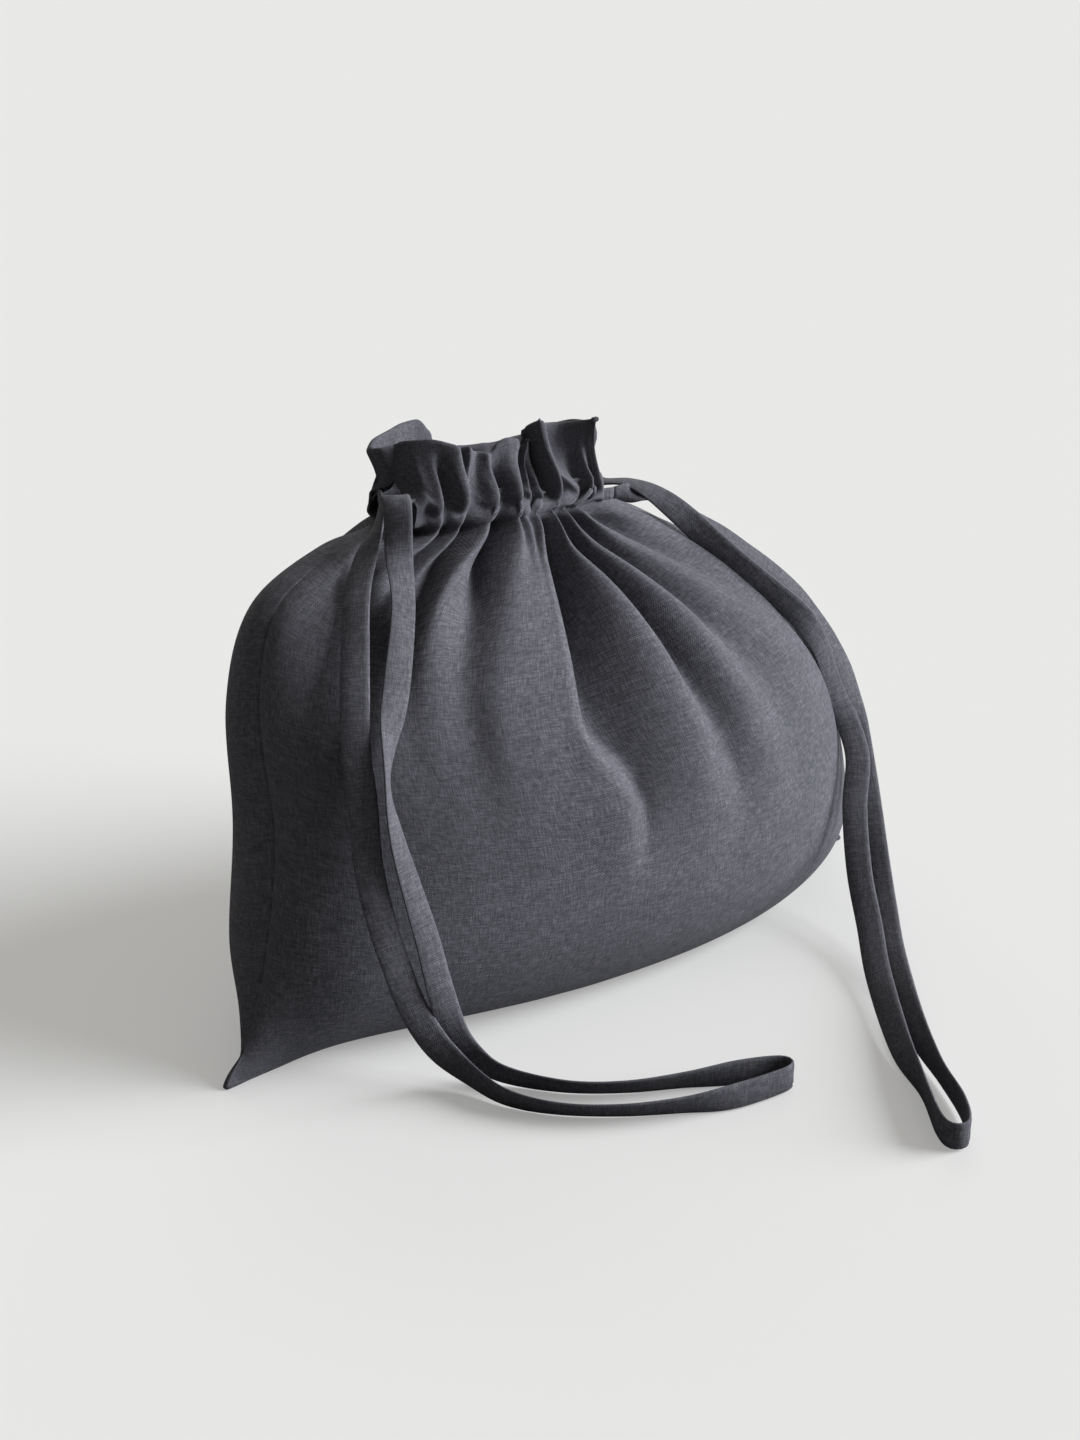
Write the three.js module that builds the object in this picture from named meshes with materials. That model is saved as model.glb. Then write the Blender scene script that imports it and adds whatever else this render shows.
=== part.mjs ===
// Linen drawstring bag, filled, standing and drawn shut. Millimetres, +Z up, front towards -Y.
import * as THREE from 'three';

// Cloth and clearances
const CLOTH = 1.2;
const HEADING_CLOTH = 2.2;
const ALLOWANCE_CLOTH = 1.6;
const GAP = 0.3;

// Form of the filled bag, bottom seam to casing, seen at the middle of each panel: y, z
const FRONT_PROFILE = [
  [-25, 0], [-56, 0], [-73, 22], [-75, 60], [-64, 102], [-40, 136], [-14, 157], [4, 166.7],
];
const BACK_PROFILE = [
  [-25, 0], [22, 0], [62, 18], [76, 58], [74, 104], [61, 138], [45, 158], [32, 166.7],
];

// Side seams, bottom corner to casing: x, y, z
const LEFT_SEAM = [
  [-159, -25, 0], [-151, -24, 16], [-139, -20, 41], [-126, -10, 79],
  [-122, 2, 122], [-107, 12, 152], [-77, 17, 165.5], [-49, 18, 170.1],
];
const RIGHT_SEAM = [
  [159, -25, 0], [153, -24, 14], [149, -20, 40], [146, -11, 74],
  [138, 1, 106], [115, 10, 133], [78, 16, 153.5], [47, 18, 163.3],
];

// How round a panel is across: a pointed lens at the bottom, an ellipse above, a flat oval at the neck
const LENS_POWER = 0.95;
const ROUND_POWER = 0.5;
const BACK_FULLNESS = 0.06;
const RIGHT_FULLNESS = 0.12;
const NECK_POWER = 0.28;
const FRONT_SAG_RIGHT = 0.3;
const ROUND_FROM = 0.3;
const FLAT_FROM = 0.8;
const SAG_RANGE = [0.1, 0.7];
const FULL_RANGE = [0.7, 0.9];
const RIGHT_FULL_FROM = [0.3, 0.6];
const RIGHT_FULL_TO = [0.85, 1];
const RIGHT_FULL_ACROSS = [0.1, 0.8];

// Gathers
const PLEATS = 7;
const LEVEL_RANGE = [0.85, 1];
const VALLEY_SHARPNESS = 0.35;
const CASING_PLEAT_DEPTH = 2.0;
const FACING_PLEAT_DEPTH = 0.4;
const HEADING_PLEAT_FOOT = 2.0;
const HEADING_PLEAT_TOP = 4.2;

// Main folds of the front, left seam to right seam: place on the flat cut, then places on the filled panel
// and heights over its smooth form at FOLD_ROWS up the panel
const FOLD_ROWS = [0.36, 0.5, 0.6, 0.68, 0.76, 0.85, 0.93, 1];
const FLAT = [0, 0, 0, 0, 0, 0, 0, 0];
const LEFT_EDGE = [-1, -1, -1, -1, -1, -1, -1, -1];
const RIGHT_EDGE = [1, 1, 1, 1, 1, 1, 1, 1];
const FRONT_FOLDS = [
  [-1, LEFT_EDGE, FLAT],
  [-0.75, [-0.75, -0.75, -0.74, -0.73, -0.71, -0.67, -0.62, -0.56], [0, 0, 0, 0, -1, -3, -3, -1]],
  [-0.68, [-0.68, -0.68, -0.67, -0.66, -0.64, -0.59, -0.53, -0.46], [0, 0, 0, 0, 1, 4, 3, 1]],
  [-0.62, [-0.62, -0.62, -0.62, -0.61, -0.59, -0.53, -0.44, -0.37], [0, 0, 0, -1, -2, -5, -3.5, -1]],
  [-0.56, [-0.56, -0.56, -0.56, -0.55, -0.52, -0.44, -0.33, -0.23], [0, 0, 1, 3, 6, 7, 3.5, 1]],
  [-0.47, [-0.47, -0.47, -0.475, -0.46, -0.4, -0.3, -0.21, -0.13], [0, 0, 0, 1, -1, -7, -4, -1]],
  [-0.38, [-0.38, -0.39, -0.4, -0.36, -0.285, -0.19, -0.09, -0.04], [0, 1, 4, 6, 7, 7, 3, 1]],
  [-0.2, [-0.2, -0.18, -0.22, -0.175, -0.12, -0.02, 0.08, 0.15], [0, 2, 5, 6, 6, 6, 3, 1]],
  [-0.12, [-0.12, -0.1, -0.14, -0.095, -0.035, 0.06, 0.15, 0.22], [0, -5, -10, -12, -12, -10, -4, -1]],
  [0.08, [0.08, 0.08, 0.095, 0.1, 0.105, 0.14, 0.21, 0.3], [0, 3, 6, 9, 9, 8, 3.5, 1]],
  [0.2, [0.2, 0.22, 0.205, 0.21, 0.22, 0.26, 0.31, 0.38], [0, -4, -8, -11, -12, -11, -4, -1]],
  [0.32, [0.32, 0.31, 0.32, 0.33, 0.325, 0.35, 0.4, 0.46], [0, 3, 6, 8, 8, 7, 3, 1]],
  [0.45, [0.45, 0.45, 0.45, 0.45, 0.44, 0.46, 0.49, 0.54], [0, -3, -5.5, -7.5, -9.5, -10, -4, -1]],
  [0.6, [0.6, 0.6, 0.6, 0.58, 0.555, 0.56, 0.58, 0.62], [0, 1, 4, 5, 6, 6, 3, 1]],
  [0.73, [0.73, 0.73, 0.72, 0.7, 0.67, 0.66, 0.67, 0.7], [0, 0, -1, -3, -6, -7, -3.5, -1]],
  [0.86, [0.86, 0.86, 0.84, 0.82, 0.79, 0.78, 0.79, 0.8], [0, 0, 1, 2, 3, 4, 2, 1]],
  [1, RIGHT_EDGE, FLAT],
];

// Main folds of the back: place, and height where it is greatest
const BACK_SWELL = [0, 0.08, 0.25, 0.5, 0.8, 0.9, 0.45, 0.12];
const BACK_FOLDS = [
  [-0.86, 4], [-0.73, -7], [-0.6, 6], [-0.48, -9], [-0.36, 7], [-0.24, -8], [-0.12, 6], [0.01, -10],
  [0.14, 7], [0.26, -8], [0.38, 5], [0.5, -9], [0.62, 6], [0.74, -7], [0.86, 4],
];

// Neck frame: casing foot at the middle, and its lean down to the right
const NECK = new THREE.Vector3(-1, 18, 166.7);
const NECK_TILT = THREE.MathUtils.degToRad(4);

// Casing: two tunnels, one along each panel
const CASING_HALF_LENGTH = 46;
const CASING_HEIGHT = 15;
const CASING_INNER_Y = 10;
const CASING_DEPTH = 5;
const CASING_SQUARENESS = 0.3;
const FACING_Y = 8.7;
const FACING_CLOTH = 1.0;

// Heading: the frill above the casing
const HEADING_FOOT = { left: -48, right: 48, depth: 13.5, power: 0.2 };
const HEADING_TOP = { left: -60, right: 49.5, depth: 18.5, power: 0.38 };
const HEADING_HEIGHT = 15;
const HEADING_LEFT_EXTRA = 4.5;
const HEADING_LEFT_RANGE = [0.2, 0.9];
const HEADING_FLARE = 1.3;

// Drawstrings: flat tape, bunched up inside the casing
const TAPE_WIDTH = 10;
const TAPE_THICKNESS = 1.3;
const RUN_WIDTH = 4.8;
const RUN_Y = 11.3;
const LEFT_LANE = 10.4;
const RIGHT_LANE = 5.0;
const RUN_END = 51;
const BIGHT_END = 57;
const BIGHT_CORNER = 4;
const TAPE_SPREAD = 0.035;
const LOOP_LEAD = 3;

// Free loops, one strand out, the folded end, one strand home: x, y, z, then the way the width points
const LEFT_LOOP = [
  [-59, 1, 187, 0.75, -0.66, 0], [-62, -4, 183.5, 0.75, -0.66, 0],
  [-63.5, -6, 168, 0.75, -0.66, 0], [-72, -19, 153, 0.75, -0.66, 0],
  [-87, -34, 133, 0.8, -0.5, 0.3], [-98, -43, 116, 0.75, 0.5, 0.4], [-103, -49, 102, 0.6, 0.7, 0.3],
  [-104, -55, 87, 0.8, 0.5, 0.2], [-103, -61, 71, 1, 0.2, 0], [-101, -66, 54, 1, 0, 0.1],
  [-99, -70, 36, 0.9, -0.1, 0.4], [-96, -74, 19, 0.5, -0.3, 0.7], [-90, -80, 9, 0, -0.3, 1],
  [-84, -90, 5.2, -0.3, -0.3, 0.9], [-73, -107, 4.6, -0.4, -0.45, 0.8], [-58, -120, 4.6, -0.4, -0.45, 0.8],
  [-40, -130, 4.8, -0.3, -0.35, 0.9], [-24, -139, 5.4, 0, 0, 1], [-12, -146, 5.6, 0, 0, 1],
  [-10, -151, 5.6, 0, 0, 1], [-16, -153, 5.6, 0, 0, 1], [-36, -149, 5.4, 0, 0, 1],
  [-52, -141, 4.8, -0.3, -0.35, 0.9], [-70, -129.5, 4.6, -0.4, -0.45, 0.8],
  [-85, -115, 4.6, -0.4, -0.45, 0.8],
  [-94, -99, 5.2, -0.3, -0.3, 0.9], [-97, -83, 8, 0, -0.3, 1], [-103, -73, 17, 0.5, -0.3, 0.7],
  [-108, -66, 31, 0.8, -0.3, 0.4], [-112, -62, 48, 0.9, -0.3, 0.1], [-114, -57, 64, 0.85, -0.5, 0],
  [-113, -50, 81, 0.75, -0.66, 0], [-110, -44, 100, 0.75, -0.66, 0], [-107, -37, 116, 0.75, -0.66, 0],
  [-100, -28, 134, 0.75, -0.66, 0], [-88, -14, 152, 0.75, -0.66, 0], [-71, 2, 167.5, 0.75, -0.66, 0],
  [-64.5, 6, 175, 0.75, -0.66, 0], [-61.5, 13, 181, 0.75, -0.66, 0],
];
const RIGHT_LOOP = [
  [57, 21, 168.5, 0.66, 0.75, 0], [62.5, 12.5, 170.5, 0.75, 0.6, 0], [67, 3, 169, 0.85, 0.45, 0.1],
  [72, -6, 162.5, 0.8, 0.4, 0.35], [79, -12.5, 153.5, 0.71, 0.32, 0.6], [88, -18, 144, 0.71, 0.32, 0.62],
  [98, -23.5, 135.3, 0.71, 0.32, 0.62], [108.3, -28.5, 126.7, 0.71, 0.35, 0.58],
  [117.5, -32.5, 117.7, 0.71, 0.45, 0.5],
  [124.5, -36.5, 106.5, 0.72, 0.55, 0.35], [131, -40, 93, 0.75, 0.4, 0.35], [133, -46, 79, 0.75, 0.2, 0.4],
  [130.5, -53.5, 69, 0.75, -0.2, 0.3],
  [122, -63, 59, 0.75, -0.66, 0], [111, -72, 44, 0.75, -0.66, 0], [99, -86, 25, 0.7, -0.6, 0.3],
  [84, -105, 13, 0.7, -0.6, 0.3], [64, -127, 7, 0.7, -0.6, 0.4], [33, -163, 5.8, 0.5, -0.4, 0.8],
  [17, -186, 5.9, 0, 0, 1], [2, -205, 5.9, 0, 0, 1], [-1, -213, 5.9, 0, 0, 1], [5, -215, 5.9, 0, 0, 1],
  [16, -204, 5.9, 0, 0, 1], [29, -184, 5.9, 0, 0, 1], [47, -158, 6.4, 0.5, -0.4, 0.8],
  [76, -124, 9, 0.7, -0.6, 0.4], [97, -101, 16, 0.7, -0.6, 0.3], [112, -83, 29, 0.7, -0.6, 0.3],
  [123, -68, 47, 0.75, -0.66, 0], [134, -55.5, 62, 0.75, -0.3, 0.3], [140.5, -46, 75, 0.75, 0.1, 0.4],
  [142, -38, 88, 0.75, 0.3, 0.45], [139, -31, 101, 0.75, 0.45, 0.4], [132.5, -25.5, 113, 0.7, 0.55, 0.4],
  [122.5, -21, 125.5, 0.7, 0.55, 0.4], [111.5, -19, 136.5, 0.7, 0.5, 0.5],
  [101, -16.5, 143.5, 0.7, 0.5, 0.5],
  [91, -10, 150.5, 0.7, 0.6, 0.35], [82, -4, 156, 0.7, 0.65, 0.2], [72, 0.5, 161.3, 0.66, 0.75, 0],
  [63, 3.5, 165.8, 0.66, 0.75, 0],
];

// Mesh fineness
const COLUMNS = 42;
const PANEL_ROWS = 20;
const CUT_STEP = 0.047;
const LEAST_CUTS = 2;
const MEASURE_STEPS = 160;
const CASING_ROWS = 6;
const HEADING_ROWS = 4;
const LOOP_STEPS = 76;
const RUN_STEPS = 36;
const NORMAL_STEP = 0.004;
const SEAM_COLUMN = 1;
const SIDE_SEAM_ROW = 3;
const BOTTOM_SEAM_COLUMN = 6;

const CHARCOAL = 0x4e4e57;
const linen = new THREE.MeshStandardMaterial({ color: CHARCOAL, roughness: 0.95, metalness: 0 });
const tapeLinen = new THREE.MeshStandardMaterial({ color: CHARCOAL, roughness: 0.92, metalness: 0 });

function smoothSpline(rows) {
  const points = rows.map(([x, y, z]) => new THREE.Vector3(x, y, z));
  return new THREE.CatmullRomCurve3(points, false, 'catmullrom', 0.5);
}

const frontProfile = smoothSpline(FRONT_PROFILE.map(([y, z]) => [0, y, z]));
const backProfile = smoothSpline(BACK_PROFILE.map(([y, z]) => [0, y, z]));
const leftSeam = smoothSpline(LEFT_SEAM);
const rightSeam = smoothSpline(RIGHT_SEAM);

const eased = (from, to, value) => THREE.MathUtils.smoothstep(value, from, to);

// Column position t in -1..1 to the share across the panel, closer together at the seams
const across = (t) => t * (1.35 - 0.35 * t * t);

// Gathers fade out at the side seams
const pleat = (share) => Math.cos(Math.PI * PLEATS * share) * (1 - share ** 8);

function panelPower(side, share, v) {
  const rounding = (LENS_POWER - ROUND_POWER) * eased(0, ROUND_FROM, v);
  const flattening = (ROUND_POWER - NECK_POWER) * eased(FLAT_FROM, 1, v);
  const backFullness = BACK_FULLNESS * eased(0, ROUND_FROM, v) * (1 - eased(...FULL_RANGE, v));
  const shoulder = eased(...RIGHT_FULL_FROM, v) * (1 - eased(...RIGHT_FULL_TO, v));
  const rightFullness = RIGHT_FULLNESS * shoulder * eased(...RIGHT_FULL_ACROSS, share);
  return LENS_POWER - rounding - flattening - rightFullness - (side > 0 ? backFullness : 0);
}

// Seam line at a share across, as if the bag were flat
const seamAt = (share, v) => leftSeam.getPoint(v).lerp(rightSeam.getPoint(v), (share + 1) / 2);

// Smooth panel without gathers: side -1 front, +1 back
function panelBase(side, share, v) {
  const seam = seamAt(share, v);
  const middle = (side < 0 ? frontProfile : backProfile).getPoint(v);
  let bulge = Math.max(1 - share * share, 0) ** panelPower(side, share, v);
  if (side < 0) {
    bulge *= 1 + FRONT_SAG_RIGHT * (1 - eased(...SAG_RANGE, v)) * share;
  }
  const y = seam.y + (middle.y - seam.y) * bulge;
  const z = seam.z + (middle.z - seam.z) * bulge;
  return new THREE.Vector3(seam.x, y, Math.max(z, 0));
}

// Outward direction of a surface from two short steps along it
function outwardNormal(surface, t, v, side) {
  const before = surface(Math.max(t - NORMAL_STEP, -1), v);
  const after = surface(Math.min(t + NORMAL_STEP, 1), v);
  const below = surface(t, Math.max(v - NORMAL_STEP, 0));
  const above = surface(t, Math.min(v + NORMAL_STEP, 1));
  const normal = after.sub(before).cross(above.sub(below)).normalize();
  return normal.multiplyScalar(-side);
}

// A value between the two listed places round x
function between(places, values, x) {
  let k = 0;
  while (k < places.length - 2 && places[k + 1] < x) k += 1;
  return THREE.MathUtils.mapLinear(x, places[k], places[k + 1], values[k], values[k + 1]);
}

// Share across for a place that is measured evenly along the cloth of a row
const rowMeasures = new Map();
function evenShare(side, place, v) {
  const key = `${side} ${v}`;
  if (!rowMeasures.has(key)) {
    const shares = [];
    const lengths = [0];
    for (let k = 0; k <= MEASURE_STEPS; k += 1) {
      shares.push(Math.sin((k / MEASURE_STEPS - 0.5) * Math.PI));
    }
    const line = shares.map((share) => panelBase(side, share, v));
    for (let k = 1; k <= MEASURE_STEPS; k += 1) {
      lengths.push(lengths[k - 1] + line[k].distanceTo(line[k - 1]));
    }
    rowMeasures.set(key, { shares, places: lengths.map((length) => 2 * length / lengths.at(-1) - 1) });
  }
  const measure = rowMeasures.get(key);
  return between(measure.places, measure.shares, THREE.MathUtils.clamp(place, -1, 1));
}

// Folds of a panel, each with smooth runs of its place and its height up the panel
function foldsOf(side) {
  const run = (values) => new THREE.CubicInterpolant(FOLD_ROWS, values, 1);
  const backRows = BACK_FOLDS.map(([place, size]) => [
    place, RIGHT_EDGE.map((edge) => edge * place), BACK_SWELL.map((swell) => swell * size),
  ]);
  const rows = side < 0 ? FRONT_FOLDS : [[-1, LEFT_EDGE, FLAT], ...backRows, [1, RIGHT_EDGE, FLAT]];
  return rows.map(([cut, places, heights]) => ({ cut, places: run(places), heights: run(heights) }));
}
const folds = { [-1]: foldsOf(-1), 1: foldsOf(1) };

// Height between two folds: round on the ridge, tight in the valley
function foldHeight(low, high, t) {
  const fromRidge = low >= high ? t : 1 - t;
  const even = (1 - Math.cos(Math.PI * fromRidge)) / 2;
  const tight = fromRidge ** 2 * (1.5 - 0.5 * fromRidge);
  const [top, bottom] = [Math.max(low, high), Math.min(low, high)];
  return top + (bottom - top) * THREE.MathUtils.lerp(even, tight, VALLEY_SHARPNESS);
}

// Outside of a panel with its folds, for a place on the flat cut
function foldedPanel(side, cut, v) {
  const lines = folds[side];
  let k = 0;
  while (k < lines.length - 2 && lines[k + 1].cut < cut) k += 1;
  const t = (cut - lines[k].cut) / (lines[k + 1].cut - lines[k].cut);
  const at = (name, n) => lines[n][name].evaluate(v)[0];
  const place = THREE.MathUtils.lerp(at('places', k), at('places', k + 1), t);
  const height = foldHeight(at('heights', k), at('heights', k + 1), t);
  const share = evenShare(side, place, v);
  const base = (a, b) => panelBase(side, a, b);
  const normal = outwardNormal(base, share, v, side);
  normal.setZ(normal.z * (1 - eased(...LEVEL_RANGE, v))).normalize();
  return base(share, v).addScaledVector(normal, height);
}

// Depth of the plane between the two side seams
function seamDepth(x, v) {
  const [left, right] = [leftSeam.getPoint(v), rightSeam.getPoint(v)];
  return THREE.MathUtils.mapLinear(x, left.x, right.x, left.y, right.y);
}

// Panel surface sunk into the cloth by an inset
function panelPoint(side, cut, v, inset) {
  const surface = (a, b) => foldedPanel(side, a, b);
  const point = surface(cut, v);
  point.addScaledVector(outwardNormal(surface, cut, v, side), -inset);
  const limit = seamDepth(point.x, v) + side * GAP / 2;
  point.y = side < 0 ? Math.min(point.y, limit) : Math.max(point.y, limit);
  point.z = Math.max(point.z, inset);
  point.z = Math.min(point.z, NECK.z - (point.x - NECK.x) * Math.tan(NECK_TILT));
  return point;
}
// Closed solid between an outer and an inner grid of points
function solidBetween(columns, rows, outerAt, innerAt) {
  const positions = [];
  const index = [];
  const width = columns + 1;
  const layer = width * (rows + 1);
  for (const pointAt of [outerAt, innerAt]) {
    for (let j = 0; j <= rows; j += 1) {
      for (let i = 0; i <= columns; i += 1) {
        positions.push(...pointAt(i, j).toArray());
      }
    }
  }
  const quad = (a, b, c, d) => index.push(a, b, c, a, c, d);
  const outer = (i, j) => j * width + i;
  const inner = (i, j) => layer + outer(i, j);
  for (let j = 0; j < rows; j += 1) {
    for (let i = 0; i < columns; i += 1) {
      quad(outer(i, j), outer(i + 1, j), outer(i + 1, j + 1), outer(i, j + 1));
      quad(inner(i, j), inner(i, j + 1), inner(i + 1, j + 1), inner(i + 1, j));
    }
  }
  for (let i = 0; i < columns; i += 1) {
    quad(outer(i, 0), inner(i, 0), inner(i + 1, 0), outer(i + 1, 0));
    quad(outer(i, rows), outer(i + 1, rows), inner(i + 1, rows), inner(i, rows));
  }
  for (let j = 0; j < rows; j += 1) {
    quad(outer(0, j), outer(0, j + 1), inner(0, j + 1), inner(0, j));
    quad(outer(columns, j), inner(columns, j), inner(columns, j + 1), outer(columns, j + 1));
  }
  const geometry = new THREE.BufferGeometry();
  geometry.setAttribute('position', new THREE.Float32BufferAttribute(positions, 3));
  geometry.setIndex(index);
  return facingOut(geometry);
}

// Turn the faces round when the solid is inside out
function facingOut(geometry) {
  const position = geometry.getAttribute('position');
  const index = geometry.getIndex().array;
  const [a, b, c] = [new THREE.Vector3(), new THREE.Vector3(), new THREE.Vector3()];
  let volume = 0;
  for (let k = 0; k < index.length; k += 3) {
    a.fromBufferAttribute(position, index[k]);
    b.fromBufferAttribute(position, index[k + 1]);
    c.fromBufferAttribute(position, index[k + 2]);
    volume += a.dot(b.cross(c));
  }
  if (volume < 0) {
    for (let k = 0; k < index.length; k += 3) {
      [index[k], index[k + 1]] = [index[k + 1], index[k]];
    }
  }
  geometry.computeVertexNormals();
  return geometry;
}

const columnAt = (i) => -1 + 2 * i / COLUMNS;
const panelRowAt = (j) => j / PANEL_ROWS;

// Places on the flat cut of a panel's columns, with a few between each two folds
function panelCuts(side) {
  const cuts = [-1];
  for (let k = 1; k < folds[side].length; k += 1) {
    const [from, to] = [folds[side][k - 1].cut, folds[side][k].cut];
    const count = Math.max(LEAST_CUTS, Math.round((to - from) / CUT_STEP));
    for (let n = 1; n <= count; n += 1) cuts.push(from + (to - from) * n / count);
  }
  return cuts;
}
const cuts = { [-1]: panelCuts(-1), 1: panelCuts(1) };

function panel(side) {
  const layerAt = (inset) => (i, j) => panelPoint(side, cuts[side][i], panelRowAt(j), inset);
  return solidBetween(cuts[side].length - 1, PANEL_ROWS, layerAt(0), layerAt(CLOTH));
}

// Seam allowance pressed against the inside of the back panel, on whole cells of its grid
function seamAllowance(firstColumn, lastColumn, firstRow, lastRow) {
  const layerAt = (inset) => (i, j) => {
    const point = panelPoint(1, cuts[1][firstColumn + i], panelRowAt(firstRow + j), inset);
    point.y = Math.max(point.y, leftSeam.getPoint(panelRowAt(firstRow + j)).y + 2 * GAP);
    return point;
  };
  const near = CLOTH + GAP;
  const far = near + ALLOWANCE_CLOTH;
  return solidBetween(lastColumn - firstColumn, lastRow - firstRow, layerAt(near), layerAt(far));
}

// Move a shape from the level neck frame to its place on the bag
function placeNeck(geometry) {
  geometry.rotateY(NECK_TILT);
  geometry.translate(NECK.x, NECK.y, NECK.z);
  return geometry;
}

// Outer wall of a tunnel: a gathered half round from the lower to the upper stitch line
function casing(side) {
  const layerAt = (inset) => (i, j) => {
    const share = columnAt(i);
    const climb = j / CASING_ROWS;
    const bulge = Math.sin(Math.PI * climb) ** CASING_SQUARENESS;
    const crest = CASING_PLEAT_DEPTH * (1 + pleat(share)) / 2;
    const y = CASING_INNER_Y + (CASING_DEPTH - inset + crest) * bulge;
    const z = GAP + inset + (CASING_HEIGHT - GAP - 2 * inset) * climb;
    return new THREE.Vector3(CASING_HALF_LENGTH * share, side * y, z);
  };
  return placeNeck(solidBetween(COLUMNS, CASING_ROWS, layerAt(0), layerAt(CLOTH)));
}

// Inner wall of a tunnel: the turned-down cloth that closes it
function facing(side) {
  const layerAt = (offset) => (i, j) => {
    const share = columnAt(i);
    const y = FACING_Y + offset + FACING_PLEAT_DEPTH * pleat(share);
    const z = GAP + (CASING_HEIGHT - GAP) * j;
    return new THREE.Vector3(CASING_HALF_LENGTH * share, side * y, z);
  };
  return placeNeck(solidBetween(COLUMNS, 1, layerAt(-FACING_CLOTH / 2), layerAt(FACING_CLOTH / 2)));
}

// Frill of doubled cloth, narrow at the casing and flaring to a rim that is higher on the left
function headingBase(side, t, climb) {
  const share = across(t);
  const flare = climb ** HEADING_FLARE;
  const left = THREE.MathUtils.lerp(HEADING_FOOT.left, HEADING_TOP.left, flare);
  const right = THREE.MathUtils.lerp(HEADING_FOOT.right, HEADING_TOP.right, flare);
  const depth = THREE.MathUtils.lerp(HEADING_FOOT.depth, HEADING_TOP.depth, flare);
  const power = THREE.MathUtils.lerp(HEADING_FOOT.power, HEADING_TOP.power, flare);
  const round = Math.max(1 - share * share, 0) ** power;
  const height = HEADING_HEIGHT + HEADING_LEFT_EXTRA * eased(...HEADING_LEFT_RANGE, -share);
  const x = THREE.MathUtils.lerp(left, right, (share + 1) / 2);
  return new THREE.Vector3(x, side * depth * round, CASING_HEIGHT + GAP + height * climb);
}

function headingPoint(side, t, climb, inset) {
  const base = (a, b) => headingBase(side, a, b);
  const point = base(t, climb);
  const normal = outwardNormal(base, t, climb, side);
  normal.z = 0;
  normal.normalize();
  const depth = THREE.MathUtils.lerp(HEADING_PLEAT_FOOT, HEADING_PLEAT_TOP, climb);
  point.addScaledVector(normal, depth * pleat(across(t)) - inset);
  const limit = side * GAP / 2;
  point.y = side < 0 ? Math.min(point.y, limit) : Math.max(point.y, limit);
  return point;
}

function heading(side) {
  const layerAt = (inset) => (i, j) => headingPoint(side, columnAt(i), j / HEADING_ROWS, inset);
  return placeNeck(solidBetween(COLUMNS, HEADING_ROWS, layerAt(0), layerAt(HEADING_CLOTH)));
}

// Route of a flat tape whose width points the way each row says, and may grow from the ends
class TapeRoute extends THREE.CatmullRomCurve3 {
  constructor(rows, endWidth, fullWidth) {
    super(rows.map(([x, y, z]) => new THREE.Vector3(x, y, z)), false, 'catmullrom', 0.5);
    this.widthWays = smoothSpline(rows.map((row) => row.slice(3)));
    this.endShare = endWidth / fullWidth;
  }

  computeFrenetFrames(segments) {
    const frames = { tangents: [], normals: [], binormals: [] };
    for (let i = 0; i <= segments; i += 1) {
      const along = i / segments;
      const t = this.getUtoTmapping(along);
      const tangent = this.getTangent(t);
      const way = this.widthWays.getPoint(t);
      way.addScaledVector(tangent, -way.dot(tangent)).normalize();
      const spread = eased(0, TAPE_SPREAD, Math.min(along, 1 - along));
      frames.tangents.push(tangent);
      frames.binormals.push(new THREE.Vector3().crossVectors(tangent, way));
      frames.normals.push(way.multiplyScalar(THREE.MathUtils.lerp(this.endShare, 1, spread)));
    }
    return frames;
  }
}

// Flat tape section with softened edges
function tapeSection(width, thickness) {
  const side = width / 2;
  const flat = side - thickness / 2;
  const half = thickness / 2;
  const corners = [[-side, 0], [-flat, -half], [flat, -half], [side, 0], [flat, half], [-flat, half]];
  return new THREE.Shape(corners.map(([x, y]) => new THREE.Vector2(x, y)));
}

function tape(route, width, steps) {
  const options = { steps, bevelEnabled: false, extrudePath: route };
  return new THREE.ExtrudeGeometry(tapeSection(width, TAPE_THICKNESS), options);
}

// Point of the level neck frame, with height above the casing foot, in the frame of the bag
function fromNeck(x, y, z) {
  const point = new THREE.Vector3(x, y, z);
  point.applyAxisAngle(new THREE.Vector3(0, 1, 0), NECK_TILT);
  return point.add(NECK).toArray();
}

const UPRIGHT = [Math.sin(NECK_TILT), 0, Math.cos(NECK_TILT)];

// Part of a drawstring held in the casing: in by one tunnel, round the far end and back by the other.
// outward is -1 for the string whose loop leaves on the left
function drawstringRun(outward, lane) {
  const exit = outward * RUN_END;
  const turn = -outward * BIGHT_END;
  const straight = turn + outward * BIGHT_CORNER;
  const plan = [
    [exit, -RUN_Y], [exit / 2, -RUN_Y], [0, -RUN_Y], [-exit / 2, -RUN_Y], [straight, -RUN_Y],
    [turn, -RUN_Y + BIGHT_CORNER], [turn, 0], [turn, RUN_Y - BIGHT_CORNER],
    [straight, RUN_Y], [-exit / 2, RUN_Y], [0, RUN_Y], [exit / 2, RUN_Y], [exit, RUN_Y],
  ];
  const rows = plan.map(([x, y]) => [...fromNeck(x, y, lane), ...UPRIGHT]);
  return tape(new TapeRoute(rows, RUN_WIDTH, RUN_WIDTH), RUN_WIDTH, RUN_STEPS);
}

// Free part of a drawstring: both ends start where the run stops
function drawstringLoop(outward, lane, rows, firstSide) {
  const start = outward * (RUN_END + GAP);
  const lead = outward * (RUN_END + LOOP_LEAD);
  const end = (x, side) => [...fromNeck(x, side * RUN_Y, lane), ...UPRIGHT];
  const out = [end(start, firstSide), end(lead, firstSide)];
  const home = [end(lead, -firstSide), end(start, -firstSide)];
  const route = [...out, ...rows, ...home];
  return tape(new TapeRoute(route, RUN_WIDTH, TAPE_WIDTH), TAPE_WIDTH, LOOP_STEPS);
}

const bag = new THREE.Group();
bag.name = 'drawstring_bag';

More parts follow.
